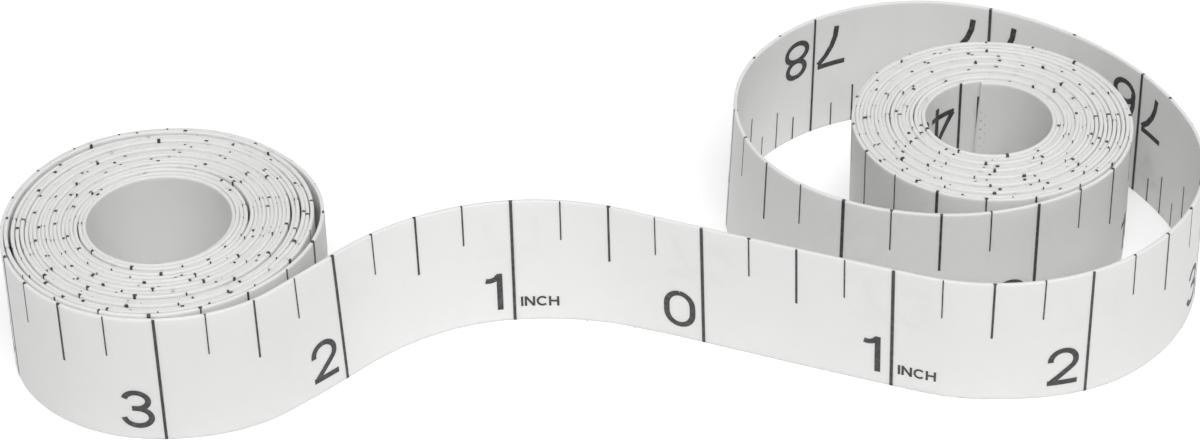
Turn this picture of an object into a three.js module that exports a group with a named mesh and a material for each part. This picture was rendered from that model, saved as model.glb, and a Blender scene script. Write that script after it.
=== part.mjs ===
// A cloth tape measure standing on its edge. Its two halves are wound into rolls, a loose turn goes round
// the right-hand roll, and a bowed run joins the two. Millimetres and degrees, with Z up and the scale's
// front towards -Y. The origin is under the middle of the whole tape.
import * as THREE from "three";

const inch = 25.4;

// The tape: a coated cloth strip that stands on one edge.
const tapeWidth = 0.75 * inch;
const tapeThickness = 0.35;
const tapeColour = 0xf2f1ec;

// Neighbouring laps keep at least this space, and neighbouring stretches this one.
const lapGap = 0.42;
const stretchGap = 0.3;

// A lap of a roll has this many steps, and a free arc a step for each of these angles.
const lapSteps = 24;
const arcStep = 7.5;

// The right-hand roll, whose lap leaves it at the front. Its inner end lies these steps past whole laps.
const rightBore = 8.6;
const rightLeaveRadius = 18.65;
const rightLeaveAngle = -55;
const rightEndSteps = 10;

// The loose turn, as it runs clockwise from the right-hand roll to the front: how much wider than the roll
// each of its four arcs bends, and how far round it goes.
const loopInnerSlack = 11.65;
const loopInnerSweep = 46;
const loopLeftSlack = 6.55;
const loopLeftSweep = 193;
const loopBackSlack = 24.15;
const loopBackSweep = 48.5;
const loopFrontSlack = 9.35;
const loopFrontSweep = 129.5;
const loopArcs = [
  { radius: rightLeaveRadius + loopInnerSlack, sweep: -loopInnerSweep },
  { radius: rightLeaveRadius + loopLeftSlack, sweep: -loopLeftSweep },
  { radius: rightLeaveRadius + loopBackSlack, sweep: -loopBackSweep },
  { radius: rightLeaveRadius + loopFrontSlack, sweep: -loopFrontSweep },
];

// The straight run that passes the zero mark, and the bow that goes on from it as far as the second bend.
const rightLeadLength = 39;
const bowRadius = 34;
const bridgeSweep = 50;

// The rest of the bow, and the straight run that meets the left-hand roll.
const leftLeadSweep = 15;
const leftLeadLength = 11.3;

// The left-hand roll, wound clockwise from where the tape meets it.
const leftMeetRadius = 20.85;
const leftBore = 9.25;
const leftEndSteps = 3;

const radians = THREE.MathUtils.degToRad;
const quarterTurn = 90;
const fullTurn = 360;

// A place on the tape's middle line: where it is in plan, and which way the tape runs there.
function place(x, y, heading) {
  return { x, y, heading };
}

// Places along an arc that turns left for a positive sweep and right for a negative one.
function arcFrom(start, radius, sweep) {
  const steps = Math.ceil(Math.abs(sweep) / arcStep);
  const side = Math.sign(sweep);
  const towardCentre = radians(start.heading + side * quarterTurn);
  const centreX = start.x + radius * Math.cos(towardCentre);
  const centreY = start.y + radius * Math.sin(towardCentre);
  const places = [];
  for (let step = 0; step <= steps; step++) {
    const heading = start.heading + (sweep * step) / steps;
    const outward = radians(heading - side * quarterTurn);
    const x = centreX + radius * Math.cos(outward);
    const y = centreY + radius * Math.sin(outward);
    places.push(place(x, y, heading));
  }
  return places;
}

// Places along several arcs, each going on from the last.
function arcsFrom(start, arcs) {
  const places = [start];
  for (const arc of arcs) {
    places.push(...arcFrom(places.at(-1), arc.radius, arc.sweep).slice(1));
  }
  return places;
}

// The two ends of a straight run.
function straightFrom(start, length) {
  const x = start.x + length * Math.cos(radians(start.heading));
  const y = start.y + length * Math.sin(radians(start.heading));
  return [start, place(x, y, start.heading)];
}

// Laps that wind clockwise about a centre while the radius changes evenly from one value to another.
function spiral(centreX, centreY, startAngle, startRadius, endRadius, steps) {
  const turnPerStep = fullTurn / lapSteps;
  const radiusPerStep = (endRadius - startRadius) / steps;
  const radiusPerRadian = radiusPerStep / radians(turnPerStep);
  const places = [];
  for (let step = 0; step <= steps; step++) {
    const angle = startAngle - turnPerStep * step;
    const radius = startRadius + radiusPerStep * step;
    const climb = THREE.MathUtils.radToDeg(Math.atan2(radiusPerRadian, radius));
    const x = centreX + radius * Math.cos(radians(angle));
    const y = centreY + radius * Math.sin(radians(angle));
    places.push(place(x, y, angle - quarterTurn + climb));
  }
  return places;
}

// Steps in a roll: as many whole laps as keep their gap between two radii, and a part of a lap.
function rollSteps(radiusChange, partSteps) {
  const mostLaps = radiusChange / (tapeThickness + lapGap);
  const wholeLaps = Math.max(1, Math.floor(mostLaps - partSteps / lapSteps));
  return wholeLaps * lapSteps + partSteps;
}

// The tape's route, from its right-hand end to its left-hand end.
const rightInner = rightBore + tapeThickness / 2;
const rightSteps = rollSteps(rightLeaveRadius - rightInner, rightEndSteps);
const rightEndAngle = rightLeaveAngle + (fullTurn / lapSteps) * rightSteps;
const rightRoll = spiral(0, 0, rightEndAngle, rightInner, rightLeaveRadius, rightSteps);
const looseLoop = arcsFrom(rightRoll.at(-1), loopArcs);
const rightLead = straightFrom(looseLoop.at(-1), rightLeadLength);
const bridge = arcFrom(rightLead.at(-1), bowRadius, bridgeSweep);
const leftBow = arcFrom(bridge.at(-1), bowRadius, leftLeadSweep);
const leftLead = [...leftBow, ...straightFrom(leftBow.at(-1), leftLeadLength).slice(1)];

const leftMeet = leftLead.at(-1);
const leftInner = leftBore + tapeThickness / 2;
const leftSteps = rollSteps(leftMeetRadius - leftInner, leftEndSteps);
const leftMeetAngle = leftMeet.heading + quarterTurn;
const leftCentreX = leftMeet.x - leftMeetRadius * Math.cos(radians(leftMeetAngle));
const leftCentreY = leftMeet.y - leftMeetRadius * Math.sin(radians(leftMeetAngle));
const leftRoll = spiral(leftCentreX, leftCentreY, leftMeetAngle, leftMeetRadius, leftInner, leftSteps);

// The face of a stretch that lies to the left of its middle line, or with -1 to the right.
function faceOf(places, side) {
  const offset = (side * tapeThickness) / 2;
  return places.map((here) => {
    const across = radians(here.heading + quarterTurn);
    const x = here.x + offset * Math.cos(across);
    const y = here.y + offset * Math.sin(across);
    return new THREE.Vector2(x, y);
  });
}

// Draws a stretch's first or last place back, so that its neighbour stands clear of it.
function drawnBack(places, fromStart, fromEnd) {
  const shorter = places.map((here) => place(here.x, here.y, here.heading));
  const first = shorter[0];
  const last = shorter.at(-1);
  first.x += fromStart * Math.cos(radians(first.heading));
  first.y += fromStart * Math.sin(radians(first.heading));
  last.x -= fromEnd * Math.cos(radians(last.heading));
  last.y -= fromEnd * Math.sin(radians(last.heading));
  return shorter;
}

const halfGap = stretchGap / 2;
const stretches = {
  right_roll: drawnBack(rightRoll, 0, halfGap),
  loose_loop: drawnBack(looseLoop, halfGap, halfGap),
  right_lead: drawnBack(rightLead, halfGap, halfGap),
  bridge: drawnBack(bridge, halfGap, halfGap),
  left_lead: drawnBack(leftLead, halfGap, halfGap),
  left_roll: drawnBack(leftRoll, halfGap, 0),
};

// The plan's middle, which goes to the origin.
const reach = new THREE.Box2();
for (const places of Object.values(stretches)) {
  reach.union(new THREE.Box2().setFromPoints(faceOf(places, 1)));
  reach.union(new THREE.Box2().setFromPoints(faceOf(places, -1)));
}
const middle = reach.getCenter(new THREE.Vector2());

// A closed strip: four corners at each place, walls between neighbouring places, and a cap at each end.
function stripGeometry(places) {
  const left = faceOf(places, 1);
  const right = faceOf(places, -1);
  const corners = [];
  places.forEach((here, i) => {
    corners.push(right[i].x - middle.x, right[i].y - middle.y, 0);
    corners.push(left[i].x - middle.x, left[i].y - middle.y, 0);
    corners.push(left[i].x - middle.x, left[i].y - middle.y, tapeWidth);
    corners.push(right[i].x - middle.x, right[i].y - middle.y, tapeWidth);
  });
  const ring = 4;
  const faces = [0, 2, 1, 0, 3, 2];
  for (let i = 0; i + 1 < places.length; i++) {
    for (let corner = 0; corner < ring; corner++) {
      const here = i * ring + corner;
      const beside = i * ring + ((corner + 1) % ring);
      faces.push(here, beside, beside + ring, here, beside + ring, here + ring);
    }
  }
  const end = (places.length - 1) * ring;
  faces.push(end, end + 1, end + 2, end, end + 2, end + 3);
  const geometry = new THREE.BufferGeometry();
  geometry.setAttribute("position", new THREE.Float32BufferAttribute(corners, 3));
  geometry.setIndex(faces);
  geometry.computeVertexNormals();
  return geometry;
}

// The least distance from one face's points to the other face, more than half a lap along the strip.
function leastGap(places, stepsPerLap) {
  const onto = new THREE.Vector2();
  const span = new THREE.Vector2();
  let least = Infinity;
  for (const side of [1, -1]) {
    const points = faceOf(places, side);
    const facing = faceOf(places, -side);
    points.forEach((point, i) => {
      for (let j = 0; j + 1 < facing.length; j++) {
        if (Math.abs(i - j) <= stepsPerLap / 2) continue;
        span.subVectors(facing[j + 1], facing[j]);
        onto.subVectors(point, facing[j]);
        const along = THREE.MathUtils.clamp(onto.dot(span) / span.lengthSq(), 0, 1);
        least = Math.min(least, onto.addScaledVector(span, -along).length());
      }
    });
  }
  return least;
}

const wound = { right_roll: lapSteps, left_roll: lapSteps, loose_loop: fullTurn / arcStep };
for (const [name, stepsPerLap] of Object.entries(wound)) {
  const gap = leastGap(stretches[name], stepsPerLap);
  console.log(name + ": least gap to itself " + gap.toFixed(3) + " mm");
}

const tape = new THREE.Group();
tape.name = "cloth_tape_measure";
for (const [name, places] of Object.entries(stretches)) {
  const material = new THREE.MeshStandardMaterial({ color: tapeColour, roughness: 0.6 });
  const mesh = new THREE.Mesh(stripGeometry(places), material);
  mesh.name = name;
  tape.add(mesh);
}

export default tape;
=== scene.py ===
import bpy
import numpy as np
from mathutils import Matrix, Vector


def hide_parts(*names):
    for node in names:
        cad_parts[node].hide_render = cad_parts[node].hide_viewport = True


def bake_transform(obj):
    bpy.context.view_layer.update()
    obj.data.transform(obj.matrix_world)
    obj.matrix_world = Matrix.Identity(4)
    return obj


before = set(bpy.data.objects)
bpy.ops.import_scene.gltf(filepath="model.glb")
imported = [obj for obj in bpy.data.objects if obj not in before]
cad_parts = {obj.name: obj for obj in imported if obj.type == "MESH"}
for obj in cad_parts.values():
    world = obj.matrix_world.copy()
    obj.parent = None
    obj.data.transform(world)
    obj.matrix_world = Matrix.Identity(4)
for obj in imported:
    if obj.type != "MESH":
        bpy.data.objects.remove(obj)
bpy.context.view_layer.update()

# The tape: one strip of fine woven glass-fibre cloth, coated in white vinyl and slit to width.
# It stands on its lower edge, wound into a roll at each end, with a loose turn round the right
# roll. It is made as two halves that meet under an inch line.
inch = 0.0254
tape_width = 0.75 * inch
tape_thickness = 0.00047
edge_round = 0.00008

# What the tape does from the left roll to the right one: a straight run, a bow to the right, a run that
# is all but straight, and a loose turn to the left, in arcs with a radius and a sweep each.
left_meet = np.array((-0.04160, -0.02823))
left_meet_heading = np.radians(44.3)
left_lead = 0.0113
bow_radius, bow_sweep = 0.0326, np.radians(67.8)
right_lead, right_lead_sweep = 0.039, np.radians(1.9)
loop_radii = np.array((0.0282, 0.0262, 0.0409, 0.0256, 0.0237, 0.0294))
loop_sweeps = np.radians((99.6, 26.2, 53.2, 80.7, 87.1, 70.2))
run_lengths = np.array((left_lead, bow_radius * bow_sweep, right_lead, *(loop_radii * loop_sweeps)))
run_sweeps = np.array((0, -bow_sweep, right_lead_sweep, *loop_sweeps))

# Each roll: the middle of its outer lap, the radius of its bore, its laps, and the loose spots, as laps
# in from the outer end and how wide a crescent opens there. All laps have the same number of steps.
lap_steps = 240
left_middle = np.array((-0.05680, -0.01365))
left_bore, left_laps = 0.008985, 20.126
left_loose = [
    (0.87, 0.00030), (1.37, 0.00020), (1.87, 0.00010), (3.87, 0.00022), (5.87, 0.00022),
    (15.87, 0.00030), (17.25, 0.00015),
]

# The left roll isn't quite round: how far its outer lap stands out at a few spots, how much the laps
# inside follow it, how far they all lie inside the lead, and a bulge at the sixth spot, where the outer
# lap comes round behind the lead.
left_spots = np.array((0.14, 0.38, 0.52, 0.64, 0.74, 0.87, 1.02))
left_stand = np.array((0.00022, 0.00051, 0.00078, 0.00014, -0.00013, -0.00002, -0.00020))
left_follow = (1, 0.85, 0.6, 0.4, 0.2, 0.08, 0)
left_inside, left_bulge, bulge_spot = -0.0009, 0.0005, 6
left_press_laps = np.concatenate(([0], *(left_spots + lap for lap in range(len(left_follow)))))
left_press = np.concatenate(([0], *(left_inside + share * left_stand for share in left_follow)))
left_press[bulge_spot] += left_bulge

right_middle = np.array((0.05025, 0.00450))
right_bore, right_laps = 0.008035, 19.432
right_loose = [(1.15 + lap, 0.000079) for lap in range(8)]
right_loose += [(9.65, 0.00014), (15.65, 0.00014)]
right_press_laps, right_press = np.array((0, 0.15)), np.array((0, -0.0002))


def eased(share):
    """A smooth step from 0 to 1: three times the share's square less twice its cube."""
    share = np.clip(share, 0, 1)
    return share * share * (3 - 2 * share)


def eased_through(mark, marks, values):
    """Values given at a few marks, with an eased step from each to the next."""
    step = np.clip(np.searchsorted(marks, mark) - 1, 0, len(marks) - 2)
    share = eased((mark - marks[step]) / np.diff(marks)[step])
    return values[step] + share * np.diff(values)[step]


def run_on(start, heading, lengths, sweeps, step=0.0002):
    """Points along straight runs and arcs: the heading is the running sum of the sweeps, each spread
    evenly over its length, and the place is the running sum of the heading's cosine and sine times
    length."""
    counts = np.ceil(lengths / step).astype(int)
    steps = np.repeat(lengths / counts, counts)
    turns = np.repeat(sweeps / counts, counts)
    headings = heading + np.cumsum(turns) - turns / 2
    moves = np.stack((steps * np.cos(headings), steps * np.sin(headings)), 1)
    return start + np.cumsum(moves, axis=0)


def wound(start, middle, turn, inner, laps, loose, press_laps, press):
    """Laps wound inwards from a start about a middle, with how many are turned at each point. The radius
    falls evenly with the laps. At a loose spot the radius shrinks and the middle slips away from it, each
    by half the crescent's width, eased over one lap. The press is added to the radius."""
    reach = start - middle
    turned = np.arange(round(laps * lap_steps) + 1) / lap_steps
    angle = np.arctan2(reach[1], reach[0]) + turn * 2 * np.pi * turned
    spot_laps, spot_widths = np.array(loose).T
    slip = spot_widths / 2 * eased(turned[:, None] - spot_laps)
    spot_angles = angle[0] + turn * 2 * np.pi * spot_laps
    middles = middle - slip @ np.stack((np.cos(spot_angles), np.sin(spot_angles)), 1)
    shrunk = slip.sum(axis=1)
    fall = (np.hypot(*reach) + press[-1] - inner - shrunk[-1]) * turned / laps
    radius = np.hypot(*reach) - shrunk - fall + eased_through(turned, press_laps, press)
    return turned, middles + radius[:, None] * np.stack((np.cos(angle), np.sin(angle)), 1)


between = run_on(left_meet, left_meet_heading, run_lengths, run_sweeps)
left_turned, left_roll = wound(
    left_meet, left_middle, -1, left_bore + tape_thickness / 2, left_laps,
    left_loose, left_press_laps, left_press,
)
right_turned, right_roll = wound(
    between[-1], right_middle, 1, right_bore + tape_thickness / 2, right_laps,
    right_loose, right_press_laps, right_press,
)

# The whole route from the left end to the right, with its scale mark, its heading, and how far the wound
# laps have ridden up, which they do in groups of about three, with a low lap between two groups. The zero
# mark lies a little to the right of the bow, in the middle of the tape.
zero_past_bow = 0.01005
ride_up, ride_laps = 0.00036, 2.9
route = np.concatenate((left_roll[::-1], between, right_roll[1:]))
along = np.concatenate(([0], np.cumsum(np.hypot(*np.diff(route, axis=0).T))))
zero_at = along[len(left_roll) - 1] + left_lead + bow_radius * bow_sweep + zero_past_bow
route_mark = along - zero_at
way = np.gradient(route, along, axis=0)
way /= np.linalg.norm(way, axis=1, keepdims=True)
laps_in = np.concatenate((left_turned[::-1], np.zeros(len(between)), right_turned[1:]))
route_rise = ride_up * eased(laps_in) * (0.5 - 0.5 * np.cos(2 * np.pi * laps_in / ride_laps))

# The free run isn't quite upright: how far its lower edge stands in front of the upper one, at a few
# marks.
lean_marks = inch * np.array((-6.5, -4, -3, -2, -1, 0, 1.5, 2.25, 4.5, 7, 9))
leans = np.array((0, 0.0002, 0, 0.0012, 0.0002, -0.0009, -0.0009, 0.0003, 0, 0.0010, 0))
route_lean = eased_through(route_mark, lean_marks, leans)

# The right end is cut at a slant, which both ends leave room for, and the halves meet at the seam.
end_slant = 0.00085
left_end, right_end = route_mark[0] + end_slant, route_mark[-1] - end_slant
seam_inch = -1
seam = seam_inch * inch


def on_tape(mark, up, out):
    """Places on the tape: the route's point at a scale mark, moved out along its front side, at a height
    above the lower edge, where the lean fades evenly towards the upper one."""
    x, y, way_x, way_y, rise, lean = (
        np.interp(mark, route_mark, values) for values in (*route.T, *way.T, route_rise, route_lean)
    )
    out = out + lean * (1 - up / tape_width)
    return np.stack((x + out * way_y, y - out * way_x, up + rise), -1)


def quad_mesh(name, points, quads, strip_place, flat=0):
    """A mesh of four-sided faces with a UV map of each point's place on the flat strip. Its faces are
    smooth, but for as many at the end as are to be flat."""
    mesh = bpy.data.meshes.new(name)
    mesh.vertices.add(len(points))
    mesh.vertices.foreach_set("co", points.astype(np.float32).ravel())
    mesh.loops.add(quads.size)
    mesh.loops.foreach_set("vertex_index", quads.astype(np.int32).ravel())
    mesh.polygons.add(len(quads))
    mesh.polygons.foreach_set("loop_start", np.arange(0, quads.size, 4, dtype=np.int32))
    mesh.polygons.foreach_set("use_smooth", np.arange(len(quads)) < len(quads) - flat)
    strip = mesh.uv_layers.new(name="strip")
    strip.data.foreach_set("uv", strip_place[quads.ravel()].astype(np.float32).ravel())
    mesh.update(calc_edges=True)
    piece = bpy.data.objects.new(name, mesh)
    bpy.context.scene.collection.objects.link(piece)
    return piece


def tape_strip(name, first, last, last_slant=0, station=0.0006, face_rows=5):
    """The tape's section carried along the route from one mark to another. The section is a flat bar with
    its corners taken off, and a slant sets the last cut further out at the lower edge."""
    half, corner, near = tape_thickness / 2, edge_round, 5 * edge_round
    rows = np.linspace(near, tape_width - near, face_rows)
    front_up = np.array((0, corner, *rows, tape_width - corner, tape_width))
    front_out = half - corner * np.array((1, *np.zeros(front_up.size - 2), 1))
    section_up = np.concatenate((front_up[::-1], front_up))
    section_out = np.concatenate((front_out[::-1], -front_out))
    stations = np.linspace(first, last, int((last - first) / station) + 1)
    marks = np.repeat(stations[:, None], section_up.size, 1)
    lower = 0.5 - section_up / tape_width
    marks[-1] += last_slant * lower
    points = on_tape(marks, section_up, section_out).reshape(-1, 3)
    ring = np.arange(points.shape[0]).reshape(marks.shape)
    beside = np.roll(ring, -1, axis=1)
    walls = np.stack((ring[:-1], beside[:-1], beside[1:], ring[1:]), -1).reshape(-1, 4)
    pair = np.arange(section_up.size // 2 - 1)
    cap = np.stack((pair, pair + 1, section_up.size - 2 - pair, section_up.size - 1 - pair), -1)
    quads = np.concatenate((walls, ring[0][cap[:, ::-1]], ring[-1][cap]))
    strip_place = np.stack((marks, np.broadcast_to(section_up, marks.shape)), -1).reshape(-1, 2)
    piece = quad_mesh(name, points, quads, strip_place, flat=2 * len(cap))
    cut = np.broadcast_to(np.isin(section_up, (0, tape_width)), marks.shape).ravel()
    to_end = np.minimum(right_end - strip_place[:, 0], strip_place[:, 0] - left_end)
    for attribute, values in (("cut_edge", cut), ("to_end", to_end)):
        layer = piece.data.attributes.new(attribute, "FLOAT", "POINT")
        layer.data.foreach_set("value", values.astype(np.float32))
    return piece


def put(tree, kind, inputs=(), **settings):
    """Adds a node, sets its options and fills its inputs, by a link where a value is another's output."""
    node = tree.nodes.new(kind)
    for name, value in settings.items():
        setattr(node, name, value)
    for key, value in dict(inputs).items():
        if isinstance(value, bpy.types.NodeSocket):
            tree.links.new(value, node.inputs[key])
        else:
            node.inputs[key].default_value = value
    return node


def math(tree, operation, *values):
    """One arithmetic step on values or outputs, as an output."""
    return put(tree, "ShaderNodeMath", enumerate(values), operation=operation).outputs[0]


def noise(tree, scale, detail):
    """Soft noise that stays with the piece, as an output."""
    place = put(tree, "ShaderNodeTexCoord").outputs["Object"]
    inputs = {"Vector": place, "Scale": scale, "Detail": detail}
    return put(tree, "ShaderNodeTexNoise", inputs).outputs["Fac"]


def ranged(tree, value, low, high):
    """A value from 0 to 1 carried over to a range, as an output."""
    inputs = {"Value": value, "To Min": low, "To Max": high}
    return put(tree, "ShaderNodeMapRange", inputs).outputs["Result"]


def mixed(tree, share, first, second):
    """A colour that goes from a first to a second with the share, as an output."""
    first_socket, second_socket, result_socket = 6, 7, 2
    inputs = {"Factor": share, first_socket: first, second_socket: second}
    return put(tree, "ShaderNodeMix", inputs, data_type="RGBA").outputs[result_socket]


def raised(tree, strength, height, depth=0.00002):
    """The slant of a surface that a height raises and lowers a little, as an output."""
    inputs = {"Strength": strength, "Distance": depth, "Height": height}
    return put(tree, "ShaderNodeBump", inputs).outputs["Normal"]


# The weave under the coating: the sine along the tape times the sine across it, which raises every other
# crossing as the threads of a plain weave do.
weave = bpy.data.node_groups.new("plain weave", "ShaderNodeTree")
weave.interface.new_socket("Thread spacing", in_out="INPUT", socket_type="NodeSocketFloat")
weave.interface.new_socket("Height", in_out="OUTPUT", socket_type="NodeSocketFloat")
weave_in = put(weave, "NodeGroupInput")
strip_uv = put(weave, "ShaderNodeUVMap", uv_map="strip")
strip_xy = put(weave, "ShaderNodeSeparateXYZ", {0: strip_uv.outputs["UV"]})
per_thread = math(weave, "DIVIDE", np.pi, weave_in.outputs["Thread spacing"])
warp = math(weave, "SINE", math(weave, "MULTIPLY", strip_xy.outputs["X"], per_thread))
weft = math(weave, "SINE", math(weave, "MULTIPLY", strip_xy.outputs["Y"], per_thread))
put(weave, "NodeGroupOutput", {"Height": math(weave, "MULTIPLY", warp, weft)})


def woven(tree, spacing):
    """The height of the weave at a thread spacing, as an output."""
    return put(tree, "ShaderNodeGroup", {"Thread spacing": spacing}, node_tree=weave).outputs["Height"]


thread_spacing = 0.00042
vinyl_white = (0.880, 0.880, 0.868, 1)
vinyl_shade = (0.845, 0.845, 0.835, 1)
cut_cloth = (0.880, 0.878, 0.864, 1)
cloud_scale, cloud_detail = 90, 3
speck_scale, speck_detail = 2600, 2
vinyl_rough, vinyl_bump, speck_relief = (0.42, 0.58), 0.35, 0.6
scatter_share, scatter_depth = 0.6, 0.0008

vinyl = bpy.data.materials.new("white vinyl on cloth")
vinyl.use_nodes = True
tree = vinyl.node_tree
surface = tree.nodes["Principled BSDF"]
surface.inputs["Subsurface Weight"].default_value = scatter_share
surface.inputs["Subsurface Radius"].default_value = (1, 1, 1)
surface.inputs["Subsurface Scale"].default_value = scatter_depth
cloud = noise(tree, cloud_scale, cloud_detail)
speck = noise(tree, speck_scale, speck_detail)
cut_mask = put(tree, "ShaderNodeAttribute", attribute_name="cut_edge").outputs["Fac"]
coat = mixed(tree, cloud, vinyl_white, vinyl_shade)
edged = mixed(tree, math(tree, "MULTIPLY", cut_mask, speck), coat, cut_cloth)

# The cut ends are sealed by a heated tool, which leaves a few small dents beside the cut, about half way
# up, that fade towards both edges.
seal_mark = (0.33, 0.33, 0.32, 1)
seal_from, seal_to = 0.0003, 0.0013
seal_middle, seal_reach = 0.0115, 0.0045
dent_spacing, dent_least = 0.0007, 0.72
dent_darkening, dent_relief = 0.6, -3.0
to_end = put(tree, "ShaderNodeAttribute", attribute_name="to_end").outputs["Fac"]
past_cut = math(tree, "GREATER_THAN", to_end, seal_from)
in_seal = math(tree, "MULTIPLY", past_cut, math(tree, "LESS_THAN", to_end, seal_to))
dents = math(tree, "GREATER_THAN", woven(tree, dent_spacing), dent_least)
seal_uv = put(tree, "ShaderNodeUVMap", uv_map="strip")
seal_up = put(tree, "ShaderNodeSeparateXYZ", {0: seal_uv.outputs["UV"]}).outputs["Y"]
off_middle = math(tree, "ABSOLUTE", math(tree, "SUBTRACT", seal_up, seal_middle))
fading = math(tree, "MAXIMUM", math(tree, "MULTIPLY_ADD", off_middle, -1 / seal_reach, 1), 0)
dented = math(tree, "MULTIPLY", math(tree, "MULTIPLY", in_seal, dents), fading)
# The dents are coloured a darker grey as well as pressed in.
sealed = mixed(tree, math(tree, "MULTIPLY", dented, dent_darkening), edged, seal_mark)
relief = math(tree, "MULTIPLY_ADD", speck, speck_relief, woven(tree, thread_spacing))
relief = math(tree, "MULTIPLY_ADD", dented, dent_relief, relief)
tree.links.new(sealed, surface.inputs["Base Color"])
tree.links.new(ranged(tree, speck, *vinyl_rough), surface.inputs["Roughness"])
tree.links.new(raised(tree, vinyl_bump, relief), surface.inputs["Normal"])


def bend_right(piece):
    """Bakes the place of a piece of the right half into its mesh."""
    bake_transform(piece)


def bend_left(piece):
    """Bakes the place of a piece of the left half into its mesh."""
    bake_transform(piece)


tape_right = tape_strip("tape_right", seam, right_end, last_slant=end_slant)
tape_left = tape_strip("tape_left", left_end, seam)
for half in (tape_right, tape_left):
    half.data.materials.append(vinyl)
bend_right(tape_right)
bend_left(tape_left)
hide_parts("right_roll", "loose_loop", "right_lead", "bridge")
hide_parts("left_lead", "left_roll")

# The scale on the front: black ink, printed through a screen onto the coating. Marks hang from the
# upper edge, where a little ink runs over the cut, and each number stands to the left of its line.
ink_height = 0.00001
ink_sunk = 0.00005
front_first, front_last, front_parts = -72, 72, 4
front_marks = {1: (tape_width, 0.00044), 2: (0.0088, 0.00030), 4: (0.0061, 0.00020)}
front_digit, front_stroke, front_space = 0.00585, 0.00078, 0.03
front_base, front_gap = 0.0019, 0.00105
unit_size, unit_stroke, unit_space = 0.00155, 0.00031, 0.10
unit_base, unit_gap = 0.00225, 0.00085
sign_breadth = np.array((1.06, 1))
width_range, edge_ink_width, edge_ink_depth = (0.85, 1.15), 0.8, 0.18
run_over_share, run_over_width = 0.36, 0.00040
run_over_range, run_over_depth = (0.6, 1.3), (0.55, 1)


def bow(x, y, reach_x, reach_y, first, last, step=14):
    """Points on an ellipse about x and y, from one angle to another in degrees."""
    angle = np.radians(np.linspace(first, last, 2 + int(abs(last - first) / step)))
    return np.stack((x + reach_x * np.cos(angle), y + reach_y * np.sin(angle)), 1)


def stem(*ends, points=6):
    """Points along a straight stroke between two places."""
    return np.linspace(ends[:2], ends[2:], points)


# Each sign is drawn as pen strokes in a box one high, with its left and right edge.
six = [bow(0.355, 0.30, 0.275, 0.245, 90, 450), bow(0.37, 0.47, 0.29, 0.475, 48, 205)]
signs = {
    "0": (0, 0.70, [
        np.concatenate((
            bow(0.35, 0.60, 0.285, 0.345, 90, 180), bow(0.35, 0.40, 0.285, 0.345, 180, 360),
            bow(0.35, 0.60, 0.285, 0.345, 0, 90),
        )),
    ]),
    "1": (0.05, 0.48, [stem(0.35, 0, 0.35, 1), bow(0.13, 0.99, 0.20, 0.17, -112, -14)]),
    "2": (0, 0.70, [
        np.concatenate((bow(0.345, 0.675, 0.27, 0.27, 188, -38), stem(0.50, 0.45, 0.09, 0.06))),
        stem(0.03, 0.06, 0.67, 0.06),
    ]),
    "3": (0, 0.70, [
        bow(0.34, 0.735, 0.245, 0.215, 170, -92), bow(0.34, 0.285, 0.285, 0.235, 92, -172),
        stem(0.24, 0.52, 0.36, 0.52),
    ]),
    "4": (0, 0.70, [stem(0.50, 0, 0.50, 1), stem(0.47, 0.97, 0.05, 0.27), stem(0.02, 0.25, 0.69, 0.25)]),
    "5": (0, 0.70, [
        stem(0.13, 0.94, 0.62, 0.94), stem(0.17, 0.97, 0.10, 0.45),
        bow(0.345, 0.32, 0.285, 0.27, 148, -162),
    ]),
    "6": (0, 0.70, six),
    "7": (0, 0.70, [stem(0.03, 0.94, 0.67, 0.94), bow(1.30, -0.05, 1.06, 1.15, 180, 127)]),
    "8": (0, 0.70, [bow(0.35, 0.735, 0.235, 0.215, 90, 450), bow(0.35, 0.28, 0.285, 0.235, 90, 450)]),
    "9": (0, 0.70, [(0.70, 1.0) - stroke for stroke in six]),
    "I": (0, 0.20, [stem(0.10, 0, 0.10, 1)]),
    "N": (0, 0.86, [stem(0.10, 0, 0.10, 1), stem(0.10, 0.98, 0.76, 0.02), stem(0.76, 0, 0.76, 1)]),
    "C": (0, 0.90, [bow(0.48, 0.50, 0.38, 0.42, 42, 318)]),
    "H": (0, 0.84, [stem(0.10, 0, 0.10, 1), stem(0.10, 0.52, 0.74, 0.52), stem(0.74, 0, 0.74, 1)]),
}


def ribbon(path, width):
    """A stroke of ink: its path set half a width to each side, once a little proud of the tape and once
    sunk into it. Gives four corners at each point, as along, up and lift."""
    run = np.gradient(path, axis=0)
    run /= np.linalg.norm(run, axis=1, keepdims=True)
    side = np.stack((-run[:, 1], run[:, 0]), 1) * width / 2
    corners = np.zeros((len(path), 4, 3))
    corners[:, (0, 3), :2] = (path + side)[:, None]
    corners[:, (1, 2), :2] = (path - side)[:, None]
    corners[:, :2, 2], corners[:, 2:, 2] = ink_height, -ink_sunk
    return corners


def hanging_marks(length, widths, spread, over):
    """Marks that go up the face to the upper edge, round it, and spread over it: five places each with
    four corners, as along, up and lift. One as long as the tape is wide starts round the lower edge."""
    low, shoulder, top = tape_width - length, tape_width - edge_round, tape_width
    corners = np.zeros((len(widths), 5, 4, 3))
    half = np.stack((widths, widths, widths, spread, spread), 1)[:, :, None] / 2
    corners[..., (0, 3), 0] = -half
    corners[..., (1, 2), 0] = half
    corners[:, :, :, 1] = np.array((low, low + edge_round, shoulder, top, top))[:, None]
    corners[:, :3, :2, 2], corners[:, :3, 2:, 2] = ink_height, -ink_sunk
    corners[:, 3, :, 2] = -edge_round
    corners[:, 4, :, 2] = -over[:, None]
    corners[:, 3:, :2, 1] += ink_height
    corners[:, 3:, 2:, 1] -= ink_sunk
    if length == tape_width:
        corners[:, 0, :, 2] = -edge_round
        corners[:, 0, :2, 1] -= ink_height
        corners[:, 0, 2:, 1] += ink_sunk
    return corners


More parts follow.
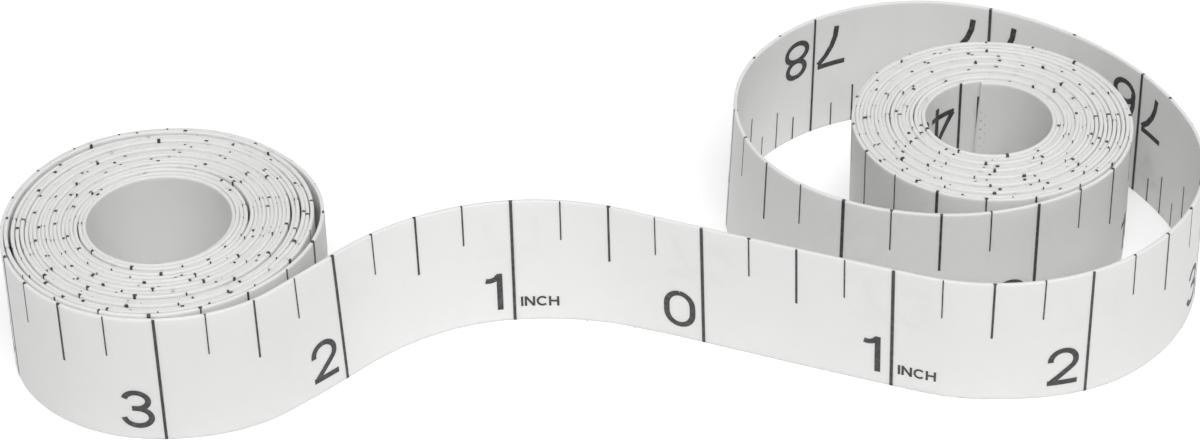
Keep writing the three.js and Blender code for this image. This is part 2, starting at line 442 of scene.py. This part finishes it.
def sign_strokes(text, left, base, size, width, space):
    """The strokes of a word from its left edge on, as corners."""
    for sign in text:
        first, last, strokes = signs[sign]
        for stroke in strokes:
            yield ribbon((stroke - (first, 0)) * sign_breadth * size + (left, base), width)
        left += ((last - first) * sign_breadth[0] + space) * size


def word_length(text, size, space):
    """How long a word is: its signs' widths, and a space between each."""
    widths = [(signs[sign][1] - signs[sign][0]) * sign_breadth[0] for sign in text]
    return size * (sum(widths) + space * (len(text) - 1))


def printed(name, strokes, reverse=False):
    """All strokes as one mesh of closed four-sided prisms, laid on a face of the tape. The reverse is the
    front turned over about the tape's length, so that up becomes down and lift points back."""
    points, quads, count = [], [], 0
    for corners in strokes:
        ring = np.arange(corners[..., 0].size).reshape(-1, *corners.shape[-3:-1])
        beside = np.roll(ring, -1, axis=-1)
        walls = np.stack((ring[:, :-1], beside[:, :-1], beside[:, 1:], ring[:, 1:]), -1)
        caps = np.stack((ring[:, 0, ::-1], ring[:, -1]), 1)
        quads.append(np.concatenate((walls.reshape(-1, 4), caps.reshape(-1, 4))) + count)
        points.append(corners.reshape(-1, 3))
        count += ring.size
    mark, up, lift = np.concatenate(points).T
    out = tape_thickness / 2 + lift
    if reverse:
        up, out = tape_width - up, -out
    strip_place = np.stack((mark, up), -1)
    quads = np.concatenate(quads)
    piece = quad_mesh(name, on_tape(mark, up, out), quads, strip_place, flat=len(quads))
    piece.data.materials.append(ink)
    return piece


def scale_strokes(parts, lengths_widths, first, last, seed):
    """The marks between two readings, in parts of an inch, longest first, each a little uneven in width
    and in how far its ink runs over the edge. Yields whole arrays of corners set at their readings."""
    uneven = np.random.default_rng(seed)
    reading = np.arange(round(first * parts), round(last * parts) + 1)
    taken = np.zeros(reading.size, bool)
    for part, (length, width) in lengths_widths.items():
        chosen = (reading % (parts // part) == 0) & ~taken
        taken |= chosen
        widths = width * uneven.uniform(*width_range, chosen.sum())
        runs = uneven.uniform(size=chosen.sum()) < run_over_share
        run_wide = run_over_width * uneven.uniform(*run_over_range, chosen.sum())
        run_deep = uneven.uniform(*run_over_depth, chosen.sum())
        spread = np.where(runs, run_wide, edge_ink_width * widths)
        over = tape_thickness * np.where(runs, run_deep, edge_ink_depth)
        corners = hanging_marks(length, widths, spread, over)
        corners[..., 0] += (reading[chosen] / parts * inch)[:, None, None]
        yield corners


# Ink lies on the weave and is thin in places, where some of the white shows through it.
ink_black = (0.030, 0.030, 0.031, 1)
ink_thin = (0.085, 0.085, 0.085, 1)
ink_scale, ink_detail = 1500, 3
thin_from, thin_to = 0.42, 0.72
ink_rough, ink_bump = (0.50, 0.65), 0.25
ink = bpy.data.materials.new("screen ink")
ink.use_nodes = True
tree = ink.node_tree
surface = tree.nodes["Principled BSDF"]
patches = {"Value": noise(tree, ink_scale, ink_detail), "From Min": thin_from, "From Max": thin_to}
thin = put(tree, "ShaderNodeMapRange", patches).outputs["Result"]
tree.links.new(mixed(tree, thin, ink_black, ink_thin), surface.inputs["Base Color"])
tree.links.new(ranged(tree, thin, *ink_rough), surface.inputs["Roughness"])
tree.links.new(raised(tree, ink_bump, woven(tree, thread_spacing)), surface.inputs["Normal"])


def front_numbers(first, last):
    """The number of inches from zero, to the left of each line, and the unit's name beside each 1."""
    for reading in range(first, last + 1):
        text = str(abs(reading))
        left = reading * inch - front_gap - word_length(text, front_digit, front_space)
        yield from sign_strokes(text, left, front_base, front_digit, front_stroke, front_space)
        if text == "1":
            left = reading * inch + unit_gap
            yield from sign_strokes("INCH", left, unit_base, unit_size, unit_stroke, unit_space)


front_right = printed("front_scale_right", [
    *scale_strokes(front_parts, front_marks, seam_inch, front_last, seed=11),
    *front_numbers(seam_inch, front_last),
])
front_left = printed("front_scale_left", [
    *scale_strokes(front_parts, front_marks, front_first, seam_inch - 1 / front_parts, seed=12),
    *front_numbers(front_first, seam_inch - 1),
])
bend_right(front_right)
bend_left(front_left)

# The scale on the reverse, in the same ink: it runs the tape's whole length from the left end, the
# other way up, in eighths of an inch, with bolder numbers that stand astride their lines.
reverse_zero = 72
reverse_first, reverse_last, reverse_parts = 1 - reverse_zero, 144 - reverse_zero, 8
reverse_marks = {
    1: (tape_width, 0.00040), 2: (0.0089, 0.00026), 4: (0.0062, 0.00022), 8: (0.0039, 0.00021),
}
reverse_digit, reverse_stroke, reverse_space = 0.0062, 0.00078, 0.18
reverse_base, reverse_gap = 0.0025, 0.0008


def reverse_numbers(first, last):
    """The first figure of each number before its line and the rest after it, in cells of one width."""
    cell = (signs["0"][1] + reverse_space) * reverse_digit
    for reading in range(first, last + 1):
        text = str(reading + reverse_zero)
        line = reading * inch
        places = [line - reverse_gap - signs["0"][1] * reverse_digit]
        places += [line + reverse_gap + cell * i for i in range(len(text) - 1)]
        for sign, left in zip(text, places):
            left += signs[sign][0] * reverse_digit
            yield from sign_strokes(
                sign, left, reverse_base, reverse_digit, reverse_stroke, reverse_space
            )


reverse_right = printed("reverse_scale_right", [
    *scale_strokes(reverse_parts, reverse_marks, seam_inch, reverse_last, seed=13),
    *reverse_numbers(seam_inch, reverse_last),
], reverse=True)
reverse_left = printed("reverse_scale_left", [
    *scale_strokes(reverse_parts, reverse_marks, reverse_first, seam_inch - 1 / reverse_parts, seed=14),
    *reverse_numbers(reverse_first, seam_inch - 1),
], reverse=True)
bend_right(reverse_right)
bend_left(reverse_left)

# The table that the tape stands on: a wide white board, which keeps a soft shadow under the tape
# and is otherwise as white as the background.
board_half = 3.0
board = bpy.data.meshes.new("board")
board.from_pydata(
    [(x * board_half, y * board_half, 0) for x, y in ((-1, -1), (1, -1), (1, 1), (-1, 1))],
    [], [(0, 1, 2, 3)],
)
floor = bpy.data.objects.new("floor", board)
bpy.context.scene.collection.objects.link(floor)


def to_the_lens(tree):
    """1 for light that goes to the lens, straight or by a mirror or a clear thing, and 0 for all other
    light, as an output."""
    rays = put(tree, "ShaderNodeLightPath").outputs
    by_a_thing = math(tree, "MAXIMUM", rays["Is Glossy Ray"], rays["Is Transmission Ray"])
    return math(tree, "MAXIMUM", rays["Is Camera Ray"], by_a_thing)


board_white = (0.95, 0.95, 0.95, 1)
board_lift = 0.30
white_board = bpy.data.materials.new("white board")
white_board.use_nodes = True
tree = white_board.node_tree
tree.nodes.clear()
matt = put(tree, "ShaderNodeBsdfDiffuse", {"Color": board_white})
lifted = math(tree, "MULTIPLY", to_the_lens(tree), board_lift)
glow = put(tree, "ShaderNodeEmission", {"Strength": lifted})
both = put(tree, "ShaderNodeAddShader", {0: matt.outputs[0], 1: glow.outputs[0]})
put(tree, "ShaderNodeOutputMaterial", {"Surface": both.outputs[0]})
board.materials.append(white_board)

# The studio: an even white tent all round, one large soft lamp high in front, a little to the right,
# and a long lens that looks down on the tape from the front.
tent_level, background_level = 0.37, 1.0
tent = bpy.data.worlds.new("white tent")
bpy.context.scene.world = tent
tent.use_nodes = True
tree = tent.node_tree
tree.nodes.clear()
level = ranged(tree, to_the_lens(tree), tent_level, background_level)
sky = put(tree, "ShaderNodeBackground", {"Strength": level})
put(tree, "ShaderNodeOutputWorld", {"Surface": sky.outputs[0]})

lamp_place = Vector((0.11, -0.62, 1.10))
lamp_side, lamp_watts = 1.2, 13.4
lamp = bpy.data.objects.new("soft lamp", bpy.data.lights.new("soft lamp", "AREA"))
lamp.data.size, lamp.data.energy = lamp_side, lamp_watts
lamp.location = lamp_place
lamp.rotation_euler = lamp_place.to_track_quat("Z", "Y").to_euler()
bpy.context.scene.collection.objects.link(lamp)

camera_place = Vector((-0.00133, -0.3770, 0.2875))
camera_pitch, camera_roll = np.radians(53.38), np.radians(-1.28)
lens_mm, sensor_mm, lens_nearest = 106.66, 36, 0.01
camera = bpy.data.objects.new("camera", bpy.data.cameras.new("camera"))
camera.data.sensor_fit, camera.data.sensor_width = "HORIZONTAL", sensor_mm
camera.data.lens = lens_mm
camera.data.clip_start = lens_nearest
camera.matrix_world = (
    Matrix.Translation(camera_place)
    @ Matrix.Rotation(camera_pitch, 4, "X")
    @ Matrix.Rotation(camera_roll, 4, "Z")
)
bpy.context.scene.collection.objects.link(camera)
bpy.context.scene.camera = camera
bpy.context.scene.view_settings.view_transform = "Standard"
